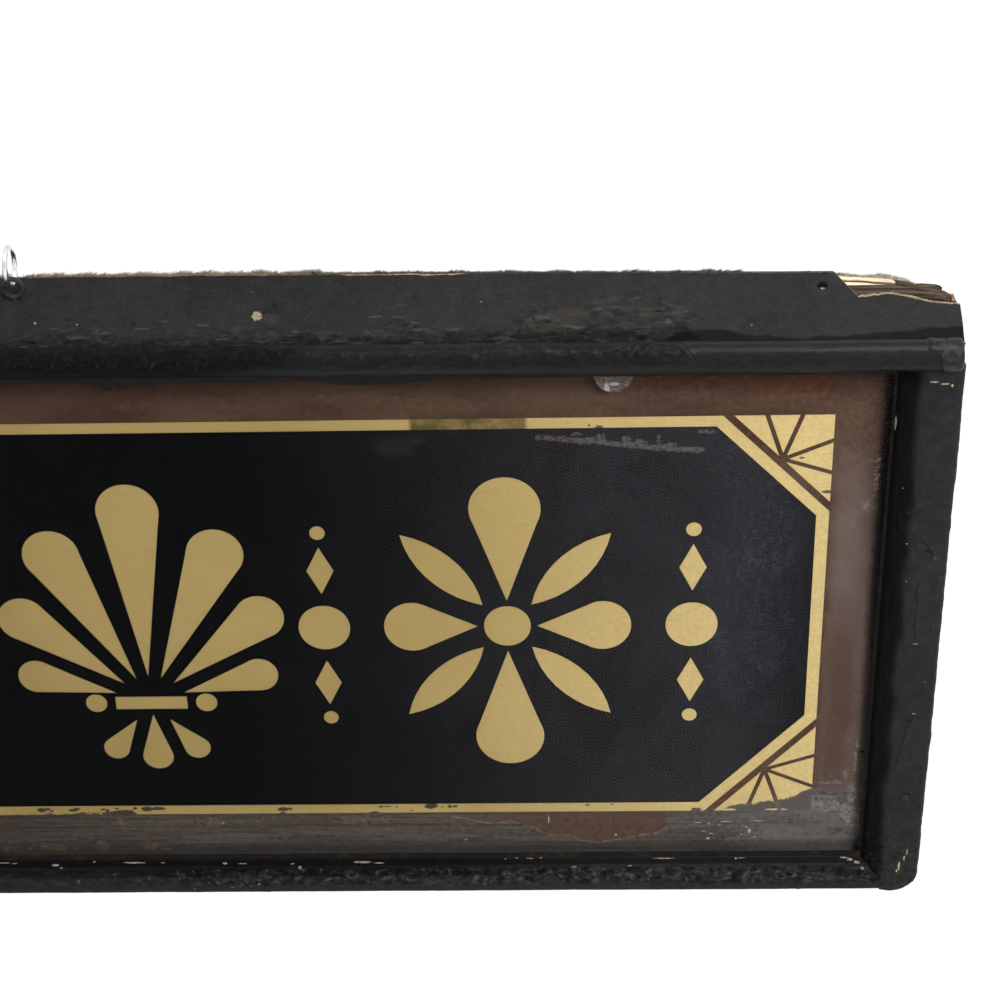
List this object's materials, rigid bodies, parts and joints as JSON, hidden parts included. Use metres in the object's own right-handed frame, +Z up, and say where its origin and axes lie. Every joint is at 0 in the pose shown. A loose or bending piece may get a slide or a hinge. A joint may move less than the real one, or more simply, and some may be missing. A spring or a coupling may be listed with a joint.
{
  "type": "glass fascia trade sign",
  "caption": "Long glass shop sign, gilded and painted on the back of its pane, in a black timber box frame with a sloping weather hood and hanging rings.",
  "frame": {"origin": "centre of the flat back that goes against a wall", "axes": "+X along the sign to the right as seen from the front, +Y out of the flat back, so the glass faces -Y, +Z up"},
  "size_m": [1.83, 0.0627, 0.4302],
  "materials": {
    "glass": "old plate glass, slightly hazy",
    "gold_leaf": "pale gold leaf seen through the glass",
    "black_backing_paint": "black paint film behind the glass",
    "brown_backing_paint": "reddish brown paint film, greyed and flaking at the lower edge",
    "black_painted_wood": "thick cracked black paint on softwood",
    "weathered_wood": "dark weathered softwood",
    "bare_wood": "aged bare softwood",
    "iron": "painted and rusted iron",
    "steel": "bright steel wire",
    "brass": "tarnished brass"
  },
  "bodies": {
    "sign": {"glass_pane": "glass", "gold_border": "gold_leaf", "gold_corner_fans": "gold_leaf", "gold_palmettes": "gold_leaf", "gold_rosettes": "gold_leaf", "gold_spacers": "gold_leaf", "black_ground": "black_backing_paint", "brown_margin": "brown_backing_paint", "stile_left": "black_painted_wood", "stile_right": "black_painted_wood", "bottom_rail": "black_painted_wood", "hood_nosing": "black_painted_wood", "hood_weather_board": "black_painted_wood", "hood_lath_back": "weathered_wood", "hood_lath_front": "weathered_wood", "box_top": "bare_wood", "box_bottom": "bare_wood", "box_end_left": "black_painted_wood", "box_end_right": "black_painted_wood", "bead_top": "bare_wood", "bead_bottom": "bare_wood", "bead_left": "bare_wood", "bead_right": "bare_wood", "setting_blocks": "bare_wood", "corner_blocks": "bare_wood", "ledge_left": "bare_wood", "ledge_middle": "bare_wood", "ledge_right": "bare_wood", "back_board_top": "bare_wood", "back_board_middle": "bare_wood", "back_board_bottom": "bare_wood", "stile_nails": "iron", "rail_nails": "iron", "hood_nails": "iron", "bead_pins": "steel", "back_screws": "brass", "hanging_eye_left": "iron", "hanging_eye_right": "iron"},
    "ring_left": {"hanging_ring_left": "steel"},
    "ring_right": {"hanging_ring_right": "steel"}
  },
  "joints": [
    {"name": "ring_left_swing", "type": "hinge", "parent": "sign", "child": "ring_left", "pos_m": [-0.387, -0.014, 0.20731], "axis": [1, 0, 0], "range_deg": [-40, 75]},
    {"name": "ring_right_swing", "type": "hinge", "parent": "sign", "child": "ring_right", "pos_m": [0.387, -0.014, 0.20731], "axis": [1, 0, 0], "range_deg": [-40, 75]}
  ]
}
